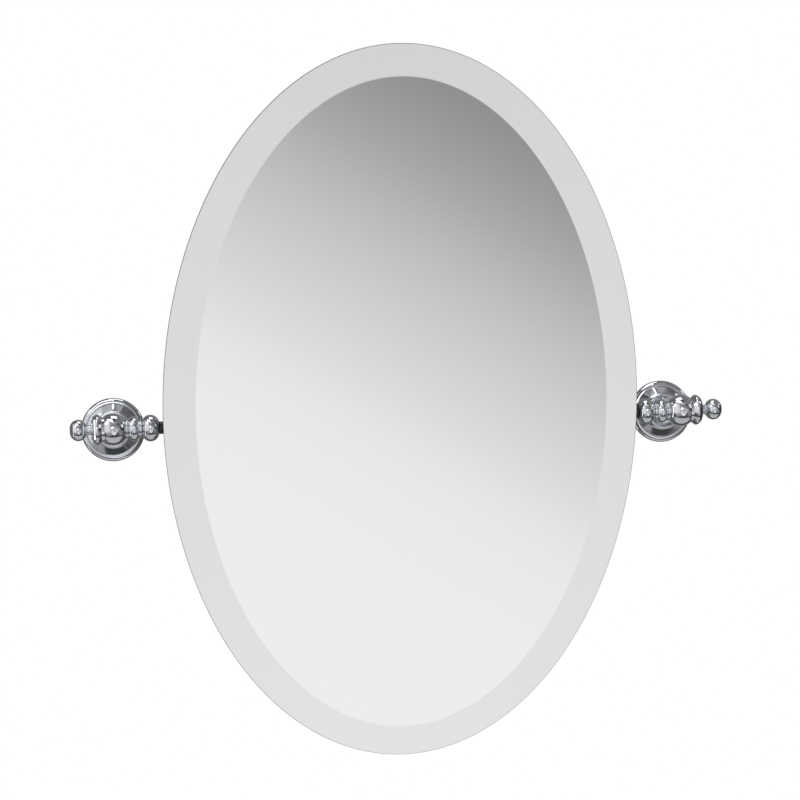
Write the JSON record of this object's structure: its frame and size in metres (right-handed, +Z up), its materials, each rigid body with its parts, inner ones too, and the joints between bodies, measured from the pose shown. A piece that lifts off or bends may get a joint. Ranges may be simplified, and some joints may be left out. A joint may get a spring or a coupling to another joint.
{
  "type": "pivot wall mirror",
  "caption": "Upright oval bevelled mirror that tilts between two turned, chromed wall brackets with ball pivots, beaded sleeves and finial clamp knobs.",
  "frame": {"origin": "on the wall, midway between the four wall screw holes, at the height of the pivot axis", "axes": "+X to the right seen from in front of the mirror, +Y into the wall, +Z up; the mirror faces -Y"},
  "size_m": [0.5528, 0.1448, 0.5932],
  "materials": {
    "silvered_glass": "silvered float glass, polished bevel and ground rim",
    "chrome_plate": "bright chrome plate on turned brass",
    "zinc_plate": "dull zinc plate",
    "screw_steel": "bright zinc plated steel",
    "painted_board": "fibreboard with matt black paint",
    "foam": "closed-cell foam tape",
    "nylon": "natural nylon"
  },
  "bodies": {
    "wall_brackets": {"left_ball": "chrome_plate", "right_ball": "chrome_plate", "left_inner_bush": "nylon", "right_inner_bush": "nylon", "left_outer_bush": "nylon", "right_outer_bush": "nylon", "left_post": "chrome_plate", "right_post": "chrome_plate", "left_flange_cover": "chrome_plate", "right_flange_cover": "chrome_plate", "left_grub_screw": "screw_steel", "right_grub_screw": "screw_steel", "left_wall_plate": "zinc_plate", "right_wall_plate": "zinc_plate"},
    "mirror": {"mirror_glass": "silvered_glass", "foam_tape": "foam", "backing_board": "painted_board", "left_lug": "zinc_plate", "right_lug": "zinc_plate", "left_lug_screws": "screw_steel", "right_lug_screws": "screw_steel", "left_stud": "screw_steel", "right_stud": "screw_steel", "left_sleeve": "chrome_plate", "right_sleeve": "chrome_plate", "left_spring_washer": "screw_steel", "right_spring_washer": "screw_steel"},
    "left_knob": {"left_finial_knob": "chrome_plate"},
    "right_knob": {"right_finial_knob": "chrome_plate"}
  },
  "joints": [
    {"name": "mirror_tilt", "type": "hinge", "parent": "wall_brackets", "child": "mirror", "pos_m": [0, -0.07, 0], "axis": [1, 0, 0], "range_deg": [-24.5, 1.5]},
    {"name": "left_knob_turn", "type": "hinge", "parent": "mirror", "child": "left_knob", "pos_m": [-0.26, -0.07, 0], "axis": [-1, 0, 0], "range_deg": [-30, 180]},
    {"name": "right_knob_turn", "type": "hinge", "parent": "mirror", "child": "right_knob", "pos_m": [0.26, -0.07, 0], "axis": [1, 0, 0], "range_deg": [-30, 180]}
  ]
}
